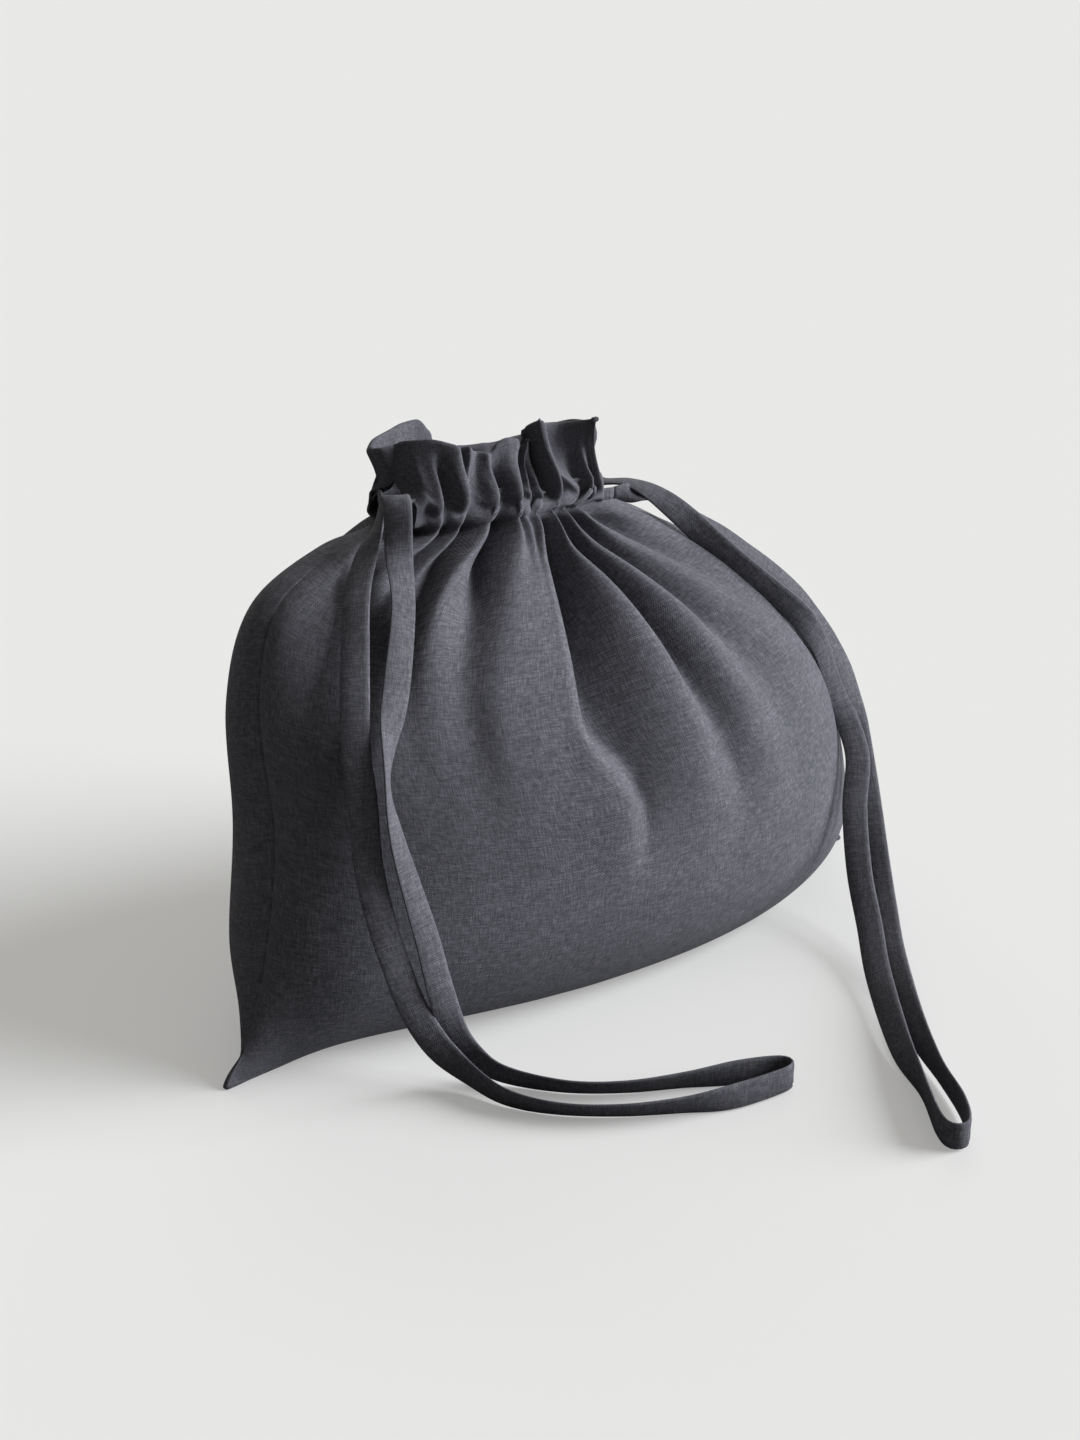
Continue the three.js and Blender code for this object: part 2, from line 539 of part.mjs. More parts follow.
function addNode(name, geometry, material) {
  const mesh = new THREE.Mesh(geometry, material);
  mesh.name = name;
  bag.add(mesh);
}

const backColumns = cuts[1].length - 1;
const rightColumn = backColumns - SEAM_COLUMN;
const sideSeamEnd = PANEL_ROWS - 1;
const leftAllowance = seamAllowance(SEAM_COLUMN, SEAM_COLUMN + 1, SIDE_SEAM_ROW, sideSeamEnd);
const rightAllowance = seamAllowance(rightColumn - 1, rightColumn, SIDE_SEAM_ROW, sideSeamEnd);
const bottomAllowance = seamAllowance(BOTTOM_SEAM_COLUMN, backColumns - BOTTOM_SEAM_COLUMN, 0, 1);

addNode('front_panel', panel(-1), linen);
addNode('back_panel', panel(1), linen);
addNode('left_seam_allowance', leftAllowance, linen);
addNode('right_seam_allowance', rightAllowance, linen);
addNode('bottom_seam_allowance', bottomAllowance, linen);
addNode('front_casing', casing(-1), linen);
addNode('back_casing', casing(1), linen);
addNode('front_casing_facing', facing(-1), linen);
addNode('back_casing_facing', facing(1), linen);
addNode('front_heading', heading(-1), linen);
addNode('back_heading', heading(1), linen);
addNode('left_drawstring_run', drawstringRun(-1, LEFT_LANE), tapeLinen);
addNode('left_drawstring_loop', drawstringLoop(-1, LEFT_LANE, LEFT_LOOP, -1), tapeLinen);
addNode('right_drawstring_run', drawstringRun(1, RIGHT_LANE), tapeLinen);
addNode('right_drawstring_loop', drawstringLoop(1, RIGHT_LANE, RIGHT_LOOP, 1), tapeLinen);

export default bag;
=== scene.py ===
"""Linen drawstring bag, filled and drawn shut. Metres, same frame as the solids, front towards -Y."""

import math

import bpy
import numpy as np
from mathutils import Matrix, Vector


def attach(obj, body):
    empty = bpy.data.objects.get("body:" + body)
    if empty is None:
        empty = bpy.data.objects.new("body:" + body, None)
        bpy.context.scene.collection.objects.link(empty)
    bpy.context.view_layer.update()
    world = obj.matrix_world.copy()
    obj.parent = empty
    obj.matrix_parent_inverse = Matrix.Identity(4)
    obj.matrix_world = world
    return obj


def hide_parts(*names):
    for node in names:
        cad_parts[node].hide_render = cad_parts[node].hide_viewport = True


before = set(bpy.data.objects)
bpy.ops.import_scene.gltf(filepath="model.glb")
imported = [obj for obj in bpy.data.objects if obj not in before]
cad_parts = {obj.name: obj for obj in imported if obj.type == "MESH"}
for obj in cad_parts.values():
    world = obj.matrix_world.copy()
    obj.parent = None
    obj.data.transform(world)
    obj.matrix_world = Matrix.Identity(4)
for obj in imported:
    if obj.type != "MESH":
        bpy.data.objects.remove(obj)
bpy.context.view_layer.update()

MM = 0.001


# Camera

CAMERA_PLACE = (-0.4850, -0.5640, 0.3750)
CAMERA_LOOK = (0.6135, 0.7033, -0.3592)
LENS_MM = 52.0
SENSOR_MM = 36.0


def place_camera():
    """The photograph's eye, above the bag and to its left front."""
    data = bpy.data.cameras.new("camera")
    data.sensor_width = SENSOR_MM
    data.lens = LENS_MM
    data.clip_start = 0.02
    camera = bpy.data.objects.new("camera", data)
    bpy.context.scene.collection.objects.link(camera)
    camera.location = CAMERA_PLACE
    camera.rotation_euler = Vector(CAMERA_LOOK).to_track_quat("-Z", "Y").to_euler()
    bpy.context.scene.camera = camera


# Curves, blends and meshes

def eased(start, end, value):
    """0 before start, 1 after end, smooth between."""
    t = np.clip((np.asarray(value, float) - start) / (end - start), 0.0, 1.0)
    return t * t * (3.0 - 2.0 * t)


def spline(rows, at):
    """Smooth curve through rows, with at running 0 to 1 in equal shares from row to row."""
    rows = np.asarray(rows, float)
    ends = np.vstack([2 * rows[:1] - rows[1:2], rows, 2 * rows[-1:] - rows[-2:-1]])
    place = np.clip(np.asarray(at, float), 0, 1) * (len(rows) - 1)
    k = np.minimum(place.astype(int), len(rows) - 2)
    t = (place - k)[..., None]
    a, b, c, d = ends[k], ends[k + 1], ends[k + 2], ends[k + 3]
    return 0.5 * (2 * b + (c - a) * t + (2 * a - 5 * b + 4 * c - d) * t ** 2
                  + (3 * b - a - 3 * c + d) * t ** 3)


def unit(vectors):
    """Vectors made one long."""
    return vectors / np.maximum(np.linalg.norm(vectors, axis=-1, keepdims=True), 1e-12)


def new_piece(name, points, faces, material, flat=None):
    """A mesh object from points in millimetres, with flat-cut coordinates for the weave."""
    mesh = bpy.data.meshes.new(name)
    mesh.from_pydata((np.asarray(points).reshape(-1, 3) * MM).tolist(), [], faces)
    mesh.polygons.foreach_set("use_smooth", [True] * len(mesh.polygons))
    if flat is not None:
        layer = mesh.uv_layers.new(name="flat_cut")
        corner = np.zeros(len(mesh.loops), int)
        mesh.loops.foreach_get("vertex_index", corner)
        layer.data.foreach_set("uv", (np.asarray(flat).reshape(-1, 2)[corner] * MM).ravel())
    mesh.materials.append(material)
    piece = bpy.data.objects.new(name, mesh)
    bpy.context.scene.collection.objects.link(piece)
    return piece


def grid_faces(rows, columns, closed=False, flip=False):
    """Quads over a grid of points, the columns joined round when closed."""
    faces = []
    for j in range(rows - 1):
        for i in range(columns if closed else columns - 1):
            n = (i + 1) % columns
            quad = [j * columns + i, j * columns + n, (j + 1) * columns + n, (j + 1) * columns + i]
            faces.append(quad[::-1] if flip else quad)
    return faces


def apply_modifiers(piece):
    """Every modifier made part of the mesh, in order."""
    bpy.ops.object.select_all(action="DESELECT")
    piece.select_set(True)
    bpy.context.view_layer.objects.active = piece
    for modifier in list(piece.modifiers):
        bpy.ops.object.modifier_apply(modifier=modifier.name)


# Materials

def linear(code):
    """An sRGB hex colour as linear red, green, blue and alpha."""
    parts = [int(code[k:k + 2], 16) / 255 for k in (1, 3, 5)]
    return [p / 12.92 if p <= 0.04045 else ((p + 0.055) / 1.055) ** 2.4 for p in parts] + [1.0]


def add_node(tree, kind, settings=None, **links):
    """A node with its settings, and its inputs set to values or linked from other nodes' outputs."""
    node = tree.nodes.new(kind)
    for key, value in (settings or {}).items():
        setattr(node, key, value)
    for key, value in links.items():
        socket = node.inputs[int(key[1:])] if key[0] == "i" and key[1:].isdigit() else node.inputs[key]
        if isinstance(value, bpy.types.NodeSocket):
            tree.links.new(value, socket)
        else:
            socket.default_value = value
    return node


# Width of a thread in millimetres, a guess: the real threads are too fine to count in the photograph, so
# these are drawn coarse enough to show
THREAD = 0.5


def woven_linen(name, dark, mid, pale, roughness):
    """Washed plain-weave linen: matt, with fine crossed streaks from uneven threads and a faint fuzz."""
    material = bpy.data.materials.new(name)
    material.use_nodes = True
    tree = material.node_tree
    tree.nodes.clear()
    output = add_node(tree, "ShaderNodeOutputMaterial")
    shader = add_node(tree, "ShaderNodeBsdfPrincipled")
    tree.links.new(shader.outputs[0], output.inputs[0])
    cut = add_node(tree, "ShaderNodeUVMap", {"uv_map": "flat_cut"}).outputs[0]

    def streaks(across_mm, along_mm, upright, seed):
        scale = (1000 / across_mm, 1000 / along_mm, 1) if upright else (1000 / along_mm, 1000 / across_mm, 1)
        mapped = add_node(tree, "ShaderNodeMapping", Vector=cut, Location=(seed, seed * 0.7, seed),
                          Scale=scale)
        return add_node(tree, "ShaderNodeTexNoise", Vector=mapped.outputs[0], Scale=1.0, Detail=2.0,
                        Roughness=0.6).outputs[0]

    # Millimetres across and along: threads, then thicker slubs and patches of uneven dye
    warp = streaks(THREAD, 4, True, 3.1)
    weft = streaks(THREAD, 3.4, False, 7.7)
    broad_warp = streaks(1.2, 22, True, 11.3)
    broad_weft = streaks(1.3, 18, False, 17.9)
    patch = streaks(26, 30, True, 23.5)
    threads = add_node(tree, "ShaderNodeMath", {"operation": "ADD"}, i0=warp, i1=weft).outputs[0]
    broad = add_node(tree, "ShaderNodeMath", {"operation": "ADD"}, i0=broad_warp, i1=broad_weft).outputs[0]
    slubs = add_node(tree, "ShaderNodeMath", {"operation": "MULTIPLY_ADD"}, i0=broad, i1=0.15, i2=threads)
    dyed = add_node(tree, "ShaderNodeMath", {"operation": "MULTIPLY_ADD"}, i0=patch, i1=0.25,
                    i2=slubs.outputs[0])
    tone = add_node(tree, "ShaderNodeMapRange", i0=dyed.outputs[0], i1=0.9, i2=1.65).outputs[0]
    ramp = add_node(tree, "ShaderNodeValToRGB", Fac=tone)
    ramp.color_ramp.elements[0].color = linear(dark)
    ramp.color_ramp.elements[1].color = linear(pale)
    ramp.color_ramp.elements.new(0.5).color = linear(mid)
    tree.links.new(ramp.outputs[0], shader.inputs["Base Color"])

    split = add_node(tree, "ShaderNodeSeparateXYZ", i0=cut)
    turn = math.pi / (THREAD * MM)
    wave = []
    for axis, bend in ((0, weft), (1, warp)):
        angle = add_node(tree, "ShaderNodeMath", {"operation": "MULTIPLY"}, i0=split.outputs[axis], i1=turn)
        bent = add_node(tree, "ShaderNodeMath", {"operation": "MULTIPLY_ADD"}, i0=bend, i1=2.4,
                        i2=angle.outputs[0])
        wave.append(add_node(tree, "ShaderNodeMath", {"operation": "COSINE"}, i0=bent.outputs[0]).outputs[0])
    over = add_node(tree, "ShaderNodeMath", {"operation": "MULTIPLY"}, i0=wave[0], i1=wave[1]).outputs[0]
    height = add_node(tree, "ShaderNodeMath", {"operation": "MULTIPLY_ADD"}, i0=threads, i1=3.0, i2=over)
    bump = add_node(tree, "ShaderNodeBump", Height=height.outputs[0], Strength=0.22, Distance=0.0002)
    tree.links.new(bump.outputs[0], shader.inputs["Normal"])
    shader.inputs["Roughness"].default_value = roughness
    shader.inputs["IOR"].default_value = 1.45
    shader.inputs["Specular IOR Level"].default_value = 0.08
    shader.inputs["Sheen Weight"].default_value = 0.03
    shader.inputs["Sheen Roughness"].default_value = 0.45
    return material


# Tape drawstrings, in millimetres

# Middle of the casing's foot, and the tilt of the neck down to the right
NECK = np.array([-1.0, 18.0, 166.7])
NECK_TILT = math.radians(4)

# The tape lying flat, and bunched in the casing: its width there, depth and heights of its lanes at the neck
TAPE_WIDTH = 10.0
TAPE_THICKNESS = 1.3
RUN_WIDTH = 4.8
RUN_Y = 11.3
LANES = {"left": 10.4, "right": 5.0}

# Distances out along the neck: end of the run, first points of the free loop, the bight at the far side
RUN_END = 51.0
LOOP_START = 51.3
LOOP_LEAD = 54.0
BIGHT_END = 46.5
BIGHT_CORNER = 4.0

# Share of a loop in which the bunched tape opens flat, and the steps along run and loop
TAPE_SPREAD = 0.014
RUN_STEPS = 90
LOOP_STEPS = 420

# Cross-section of the folded tape in shares of its width and half its thickness, dipped along the sewn edge
TAPE_SECTION = [(-0.5, 0.0), (-0.47, -0.62), (-0.36, -0.5), (-0.3, -0.95), (0.0, -0.8), (0.3, -1.0),
                (0.45, -0.8), (0.5, 0.0), (0.45, 0.8), (0.3, 1.0), (0.0, 0.8), (-0.3, 0.95),
                (-0.36, 0.5), (-0.47, 0.62)]

# Widths between the tape's two faces on the flat cut
FACES_APART = 1.2

# Ends of the back lane, distance out and depth: the left tape crosses to the middle of its slit
BACK_END = {"left": [(40, 11.3), (46.5, 9), (49.3, 5.2)], "right": [(51, 11.3)]}
BACK_LEAD = {"left": [(49.5, 4.9), (52.5, 0.5)], "right": [(51.3, 11.3), (54, 11.3)]}

# Free loops, one strand out, the folded end, one strand home: x, y, z, then the way the width points
LEFT_LOOP = [
    [-59, 1, 187, 0.75, -0.66, 0], [-62, -4, 183.5, 0.75, -0.66, 0],
    [-63.5, -6, 168, 0.8, -0.5, -0.2], [-72, -19, 153, 0.86, -0.24, -0.47],
    [-87, -34, 133, 0.86, -0.3, -0.3], [-98, -43, 116, 0.75, 0.5, 0.4], [-103, -49, 102, 0.6, 0.7, 0.3],
    [-104, -55, 87, 0.8, 0.5, 0.2], [-103, -61, 71, 1, 0.2, 0], [-101, -66, 54, 1, 0, 0.1],
    [-99, -70, 36, 0.9, -0.1, 0.4], [-96, -74, 19, 0.5, -0.3, 0.7], [-90, -80, 9, 0, -0.3, 1],
    [-84, -90, 5.2, -0.3, -0.3, 0.9], [-73, -107, 4.6, -0.4, -0.45, 0.8], [-58, -120, 4.6, -0.4, -0.45, 0.8],
    [-40, -130, 4.8, -0.3, -0.35, 0.9], [-24, -139, 5.4, 0, 0, 1], [-12, -146, 5.6, 0, 0, 1],
    [-10, -151, 5.6, 0, 0, 1], [-16, -153, 5.6, 0, 0, 1], [-36, -149, 5.4, 0, 0, 1],
    [-52, -141, 4.8, -0.3, -0.35, 0.9], [-70, -129.5, 4.6, -0.4, -0.45, 0.8],
    [-85, -115, 4.6, -0.4, -0.45, 0.8],
    [-94, -99, 5.2, -0.3, -0.3, 0.9], [-97, -83, 8, 0, -0.3, 1], [-103, -73, 17, 0.5, -0.3, 0.7],
    [-108, -66, 31, 0.8, -0.3, 0.4], [-112, -62, 48, 0.9, -0.3, 0.1], [-114, -57, 64, 0.85, -0.5, 0],
    [-113, -50, 81, 0.75, -0.66, 0], [-110, -44, 100, 0.75, -0.66, 0], [-107, -37, 116, 0.75, -0.66, 0],
    [-100, -28, 134, 0.75, -0.66, 0], [-88, -13, 152, 0.6, -0.69, 0.19], [-79, -3, 160, 0.6, -0.66, 0.25],
    [-70, 4, 167.5, 0.55, -0.6, 0.4], [-61, 9.5, 175, 0.4, -0.3, 0.8],
]
RIGHT_LOOP = [
    [57, 21, 168.5, 0.66, 0.75, 0], [61.5, 11.5, 169.7, 0.75, 0.6, 0], [65, 1.5, 167.5, 0.8, 0.4, 0.3],
    [69.5, -8, 161.5, 0.7, 0.1, 0.65], [78, -17.5, 150.5, 0.5, -0.35, 0.78],
    [85, -22.5, 142.8, 0.42, -0.47, 0.77], [92.8, -27, 135, 0.42, -0.47, 0.77],
    [101, -31, 127.3, 0.42, -0.47, 0.77], [112, -36.2, 116.5, 0.5, -0.35, 0.77],
    [121.5, -39, 103.8, 0.7, 0, 0.65], [126.3, -40.8, 92, 0.75, 0.1, 0.4], [128.6, -45.2, 79, 0.75, 0, 0.3],
    [128.5, -52, 69, 0.75, -0.3, 0.2],
    [122, -63, 59, 0.75, -0.66, 0], [111, -72, 44, 0.75, -0.66, 0], [99, -86, 25, 0.7, -0.6, 0.3],
    [84, -105, 13, 0.7, -0.6, 0.3], [64, -127, 7, 0.7, -0.6, 0.4], [33, -163, 5.8, 0.5, -0.4, 0.8],
    [17, -186, 5.9, 0, 0, 1], [2, -205, 5.9, 0, 0, 1], [-1, -213, 5.9, 0, 0, 1], [5, -215, 5.9, 0, 0, 1],
    [16, -204, 5.9, 0, 0, 1], [29, -184, 5.9, 0, 0, 1], [47, -158, 6.4, 0.5, -0.4, 0.8],
    [76, -124, 9, 0.7, -0.6, 0.4], [97, -101, 16, 0.7, -0.6, 0.3], [112, -83, 29, 0.7, -0.6, 0.3],
    [123, -68, 47, 0.75, -0.66, 0], [131.5, -55.5, 62, 0.75, -0.3, 0.3], [136.5, -47, 75, 0.75, 0.1, 0.4],
    [137, -41.5, 87, 0.75, 0.3, 0.45], [135, -35, 99, 0.75, 0.45, 0.4], [131.5, -28.5, 109, 0.7, 0.5, 0.45],
    [126, -22.5, 119, 0.7, 0.5, 0.45], [117, -16.5, 129, 0.7, 0.5, 0.45], [107, -11.5, 137.5, 0.7, 0.5, 0.5],
    [98, -7, 145, 0.7, 0.5, 0.5], [89, -3, 151.5, 0.7, 0.6, 0.35], [81, 0, 157, 0.7, 0.65, 0.2],
    [72, 2, 161.5, 0.66, 0.75, 0], [63, 3.5, 165.8, 0.66, 0.75, 0],
]


def from_neck(points):
    """Points of the level neck frame, with height above the casing foot, in the frame of the bag."""
    points = np.asarray(points, float)
    x, y, z = points[..., 0], points[..., 1], points[..., 2]
    turned = [x * math.cos(NECK_TILT) + z * math.sin(NECK_TILT), y,
              z * math.cos(NECK_TILT) - x * math.sin(NECK_TILT)]
    return NECK + np.stack(turned, -1)


UPRIGHT = [math.sin(NECK_TILT), 0.0, math.cos(NECK_TILT)]


def tape_line(rows, steps):
    """Points evenly along a tape's middle and the direction of its width at each."""
    rows = np.asarray(rows, float)
    fine = np.linspace(0, 1, 6000)
    line = spline(rows, fine)
    run = np.concatenate([[0], np.cumsum(np.linalg.norm(np.diff(line[:, :3], axis=0), axis=1))])
    at = np.interp(np.linspace(0, run[-1], steps + 1), run, fine)
    line = spline(rows, at)
    middle = line[:, :3]
    ahead = unit(np.gradient(middle, axis=0))
    way = line[:, 3:]
    way = unit(way - ahead * (way * ahead).sum(1, keepdims=True))
    return middle, ahead, way, run[-1]


def tape_piece(name, rows, steps, end_width, full_width, material):
    """Folded flat tape, rolled along one edge and sewn along the other."""
    middle, ahead, way, length = tape_line(rows, steps)
    along = np.linspace(0, 1, steps + 1)
    spread = eased(0, TAPE_SPREAD, np.minimum(along, 1 - along))
    width = (end_width + (full_width - end_width) * spread)[:, None]
    face = np.cross(ahead, way)
    half = TAPE_THICKNESS / 2
    points = np.stack([middle + way * width * across + face * half * up for across, up in TAPE_SECTION], 1)
    count = len(TAPE_SECTION)
    flat = np.zeros((steps + 1, count, 2))
    for k, (across, up) in enumerate(TAPE_SECTION):
        flat[:, k, 0] = (across + (FACES_APART if up > 0 else 0)) * full_width
        flat[:, k, 1] = along * length
    faces = grid_faces(steps + 1, count, closed=True)
    faces.append(list(range(count))[::-1])
    faces.append([steps * count + k for k in range(count)])
    return new_piece(name, points, faces, material, flat), middle, length


def neck_row(x, y, lane):
    """A tape point in the casing, with its width upright."""
    return [*from_neck([x, y, lane]), *UPRIGHT]


def run_rows(outward, lane, back_end):
    """Tape held in the casing: in by one tunnel, round the far end and back by the other."""
    leave = outward * RUN_END
    turn = -outward * BIGHT_END
    straight = turn + outward * BIGHT_CORNER
    plan = [(leave, -RUN_Y), (leave / 2, -RUN_Y), (0, -RUN_Y), (-leave / 2, -RUN_Y), (straight, -RUN_Y),
            (turn, -RUN_Y + BIGHT_CORNER), (turn, 0), (turn, RUN_Y - BIGHT_CORNER),
            (straight, RUN_Y), (-leave / 2, RUN_Y), (0, RUN_Y), (leave / 2, RUN_Y)]
    plan += [(outward * x, y) for x, y in back_end]
    return [neck_row(x, y, lane) for x, y in plan]


def loop_rows(outward, lane, rows, back_first, back_lead):
    """The free loop, both ends starting where the run stops."""
    front = [neck_row(outward * x, -RUN_Y, lane) for x in (LOOP_START, LOOP_LEAD)]
    back = [neck_row(outward * x, y, lane) for x, y in back_lead]
    return back + rows + front[::-1] if back_first else front + rows + back[::-1]


def make_drawstrings(material):
    """Both drawstrings, each a run in the casing and a free loop."""
    for side, outward, rows in (("left", -1, LEFT_LOOP), ("right", 1, RIGHT_LOOP)):
        lane, body = LANES[side], side + "_drawstring"
        run, _, _ = tape_piece(side + "_tape_run", run_rows(outward, lane, BACK_END[side]), RUN_STEPS,
                               RUN_WIDTH, RUN_WIDTH, material)
        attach(run, body)
        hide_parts(side + "_drawstring_run")
        route = loop_rows(outward, lane, rows, side == "right", BACK_LEAD[side])
        loop, middle, length = tape_piece(side + "_tape_loop", route, LOOP_STEPS, RUN_WIDTH, TAPE_WIDTH,
                                          material)
        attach(loop, body)
        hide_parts(side + "_drawstring_loop")


# Cloth of the bag, in millimetres

# Middle lines of the filled front and back, depth and height, and the side seams, from the bottom up
FRONT_PROFILE = [(-25, 0), (-56, 0), (-73, 22), (-75, 60), (-64, 102), (-40, 136), (-14, 157), (4, 166.7)]
BACK_PROFILE = [(-25, 0), (22, 0), (62, 18), (76, 58), (74, 104), (61, 138), (45, 158), (32, 166.7)]
LEFT_SEAM = [(-159, -25, 0), (-151, -24, 16), (-139, -20, 41), (-126, -10, 79),
             (-122, 2, 122), (-107, 12, 152), (-77, 17, 165.5), (-49, 18, 170.1)]
RIGHT_SEAM = [(159, -25, 0), (153, -24, 14), (148.5, -20, 40), (144.5, -11, 73),
              (135.5, 1, 104), (111, 10, 130.5), (75, 16, 152), (43, 18, 163.6)]

# The cut: width between the seams, height up to the casing, thickness, width of the allowances
FLAT_WIDTH = 320.0
FLAT_PANEL = 240.0
CLOTH = 0.9
ALLOWANCE = 10.0

# The drawn neck: its ends, the depth of a seam, a ridge and the cloth nearest the tape, the pinch's height
LEFT_NECK = -47.5
RIGHT_NECK = 43.5
SEAM_DEPTH = 14
RIDGE_DEPTH = 16
LEAST_DEPTH = 12.9
PINCH = 7.5

# Powers that round the panels between the seams: at the bottom, then how much fuller above, at the neck, at
# the back and on the right, and the lean of the front's belly to the right
BULGE = 0.95
BELLY_FULLER = 0.45
NECK_FULLER = 0.22
BACK_FULLER = 0.06
RIGHT_FULLER = 0.07
BELLY_LEAN = 0.3

# Folds: the power of a crease and its share of right and left flanks, the roll of the shoulder out and up,
# the rise of crests towards the neck, the swell of ridges and heading tubes, how often turns are worn round
CREASE_POWER = 2.4
RIGHT_CREASE = 0.1
LEFT_CREASE = 0.5
SHOULDER_OUT = 5.0
SHOULDER = 2.5
PUFF = 0.4
RIDGE_SWELL = 1.15
TUBE_SWELL = 3.5
TUBE_PEAK = 6.75
ROUNDING = 3

# Rows above the panel between which the rounding fades out
CRISP_FROM = 6
CRISP_BY = 12

# Unevenness of the pinch: size, pace along the neck, start
WANDER = ((1.6, 0.55, 0.8), (1.1, 1.13, 0.0))

# How far the heading may lean inwards once it is above the tape
LEAN_FREE = 60

# Groove of the side seams, depth and width
SEAM_GROOVE = 3.2
GROOVE_WIDTH = 3.5

# Turned-down hem: gap to the heading, drop of its rows, rise of the fold. Lengths on the cut: up to the
# casing's first row, over the fold
HEM_GAP = 2.2
HEM_DROP = 0.3
HEM_FOLD = 0.8
FIRST_STEP = 1.5
FOLD_STEP = 1

# Mesh: columns, rows of panel, casing and heading, share of even columns, crowding of rows towards the neck
COLUMNS = 145
PANEL_ROWS = 54
CASING_ROWS = 7
RIM_ROWS = 13
EVEN_COLUMNS = 0.6
ROW_CROWDING = 0.35

# Settling: scale of the trial cloth, its frames, the share of the height from which it is held fast, how
# firmly it is held below that and at the seams, slack of the gathers, pressure of the filling, and the most
# that a point may move
SIM_SCALE = 0.01
SIM_FRAMES = 24
HELD_FROM = 0.975
HOLD = 0.25
SEAM_HOLD = 0.6
SLACK_SHARE = 0.03
PRESSURE = 2.0
MOST_MOVED = 14.0

# Allowances: distance from the seam, inset from the cloth's face, thickness, ends of the side strips up the
# cut and of the bottom strip as shares across it
ALLOWANCE_NEAR = 1.5
ALLOWANCE_INSET = 1.7
ALLOWANCE_CLOTH = 0.8
SIDE_STRIP = (30, 205)
BOTTOM_STRIP = (-0.86, 0.86)

# Gathers of the front, left seam to right seam: place on the flat cut, places on the filled panel and heights
# over its smooth form at PANEL_STATIONS up the panel, then x and depth where the neck is pinched
PANEL_STATIONS = (0.36, 0.50, 0.60, 0.68, 0.76, 0.85, 0.93, 1.0)
LEVEL = (0,) * 8
FRONT_GATHERS = [
    (-1.00, (-1,) * 8, LEVEL, LEFT_NECK, SEAM_DEPTH),
    (-0.95, (-.95, -.95, -.95, -.95, -.945, -.94, -.935, -.93), (0, 0, 0, 0, 0, 1, 1, 0), -46, 14),
    (-0.88, (-.88, -.88, -.88, -.875, -.87, -.855, -.84, -.82), (0, 0, 0, 0, -1, -3, -5, -6), -42.5, 13.5),
    (-0.81, (-.81, -.81, -.805, -.795, -.785, -.765, -.745, -.71), (0, 0, 0, 0, 1, 3, 5, 5), -38, 16),
    (-0.75, (-.75, -.75, -.745, -.735, -.72, -.69, -.67, -.63), (0, 0, 0, 0, -1, -4, -8, -8), -33.5, 12.9),
    (-0.71, (-.71, -.71, -.705, -.695, -.68, -.65, -.625, -.58), (0, 0, 0, 0, 0, 0, -2, -2), -30, 14.5),
    (-0.68, (-.68, -.68, -.675, -.665, -.65, -.62, -.59, -.54), (0, 0, 0, 0, 0, 1, 2, 2), -26.5, 15.5),
    (-0.62, (-.62, -.62, -.62, -.615, -.605, -.57, -.54, -.48), (0, 0, 0, -1, -3, -6, -8, -8), -21, 12.9),
    (-0.56, (-.56, -.56, -.56, -.55, -.535, -.48, -.43, -.36), (0, 0, 1, 3, 6, 8, 8, 6), -13, 16.5),
    (-0.47, (-.47, -.47, -.475, -.46, -.41, -.34, -.26, -.19), (0, 0, 0, 1, -1, -9, -15, -11), -6.5, 12.9),
    (-0.38, (-.38, -.39, -.40, -.36, -.29, -.21, -.13, -.085), (0, 1, 4, 6, 7, 7, 6, 5), -1.5, 16.5),
    (-0.30, (-.30, -.31, -.31, -.27, -.21, -.14, -.07, -.025), (0, 1, 4, 6, 6, 4.5, 0, -2), 1.7, 12.9),
    (-0.27, (-.27, -.27, -.28, -.235, -.175, -.105, -.035, .02), (0, 1, 4, 6, 6, 5, 4, 3), 4.4, 16),
    (-0.24, (-.24, -.22, -.25, -.205, -.155, -.09, -.01, .06), (0, 1, 4, 5.5, 5, 3.5, -1, -2), 6.7, 12.9),
    (-0.20, (-.20, -.15, -.22, -.18, -.135, -.07, .02, .10), (0, 2, 5, 6, 6, 6, 5, 4), 9.2, 16),
    (-0.13, (-.13, -.07, -.15, -.105, -.055, .01, .085, .16),
     (0, -7, -14, -17, -17, -15, -11, -8), 12.6, 12.9),
    (0.08, (.08, .09, .10, .105, .10, .085, .14, .22), (0, 2, 4.5, 6, 6, 5.5, 5, 4), 18, 17),
    (0.20, (.20, .205, .19, .195, .175, .15, .195, .275),
     (0, -3, -6.5, -8.5, -8.5, -7.5, -6.5, -5.5), 23, 12.9),
    (0.32, (.32, .30, .285, .285, .245, .21, .25, .33), (0, 2, 4, 5, 5.2, 5, 4.5, 4), 27, 17.2),
    (0.45, (.45, .43, .41, .385, .335, .285, .315, .39), (0, -2, -4, -5.5, -6.2, -6.4, -6, -5.5), 31, 12.9),
    (0.60, (.60, .58, .555, .49, .425, .37, .385, .45), (0, 0, 1.5, 2.5, 3.2, 3.8, 4, 4), 34.5, 17),
    (0.73, (.73, .72, .68, .61, .54, .485, .49, .54), (0, 0, -1, -2, -3, -4, -4.6, -4.8), 38, 12.9),
    (0.86, (.86, .85, .80, .74, .68, .63, .625, .66), (0, 0, 0, 1, 2, 3.5, 4.5, 4.5), 41, 16),
    (1.00, (1,) * 8, LEVEL, RIGHT_NECK, SEAM_DEPTH),
]

